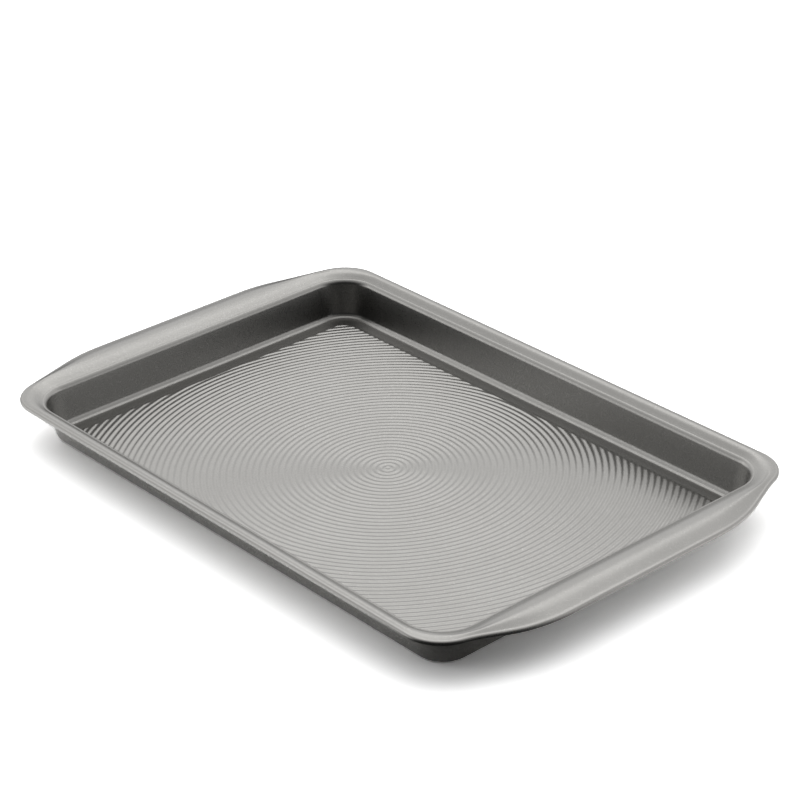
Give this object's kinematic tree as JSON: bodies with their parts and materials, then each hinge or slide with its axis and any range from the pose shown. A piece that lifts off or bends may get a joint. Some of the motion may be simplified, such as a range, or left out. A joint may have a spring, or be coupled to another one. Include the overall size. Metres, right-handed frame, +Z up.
{
  "type": "jelly roll pan",
  "caption": "Shallow rectangular pan pressed from sheet, with concentric pressed rings in the floor, a raised rim with a wired rolled edge, and a wider rim at each end to hold it by.",
  "frame": {"origin": "centre of the pan's footprint on the table", "axes": "+X along the length of the pan, +Z up out of the tray"},
  "size_m": [0.457, 0.2978, 0.0297],
  "materials": {
    "coated_sheet": "satin grey coating with a fine metallic grain",
    "wire": "drawn bright wire"
  },
  "bodies": {
    "root": {"pan_shell": "coated_sheet", "rim_wire": "wire"}
  },
  "joints": []
}
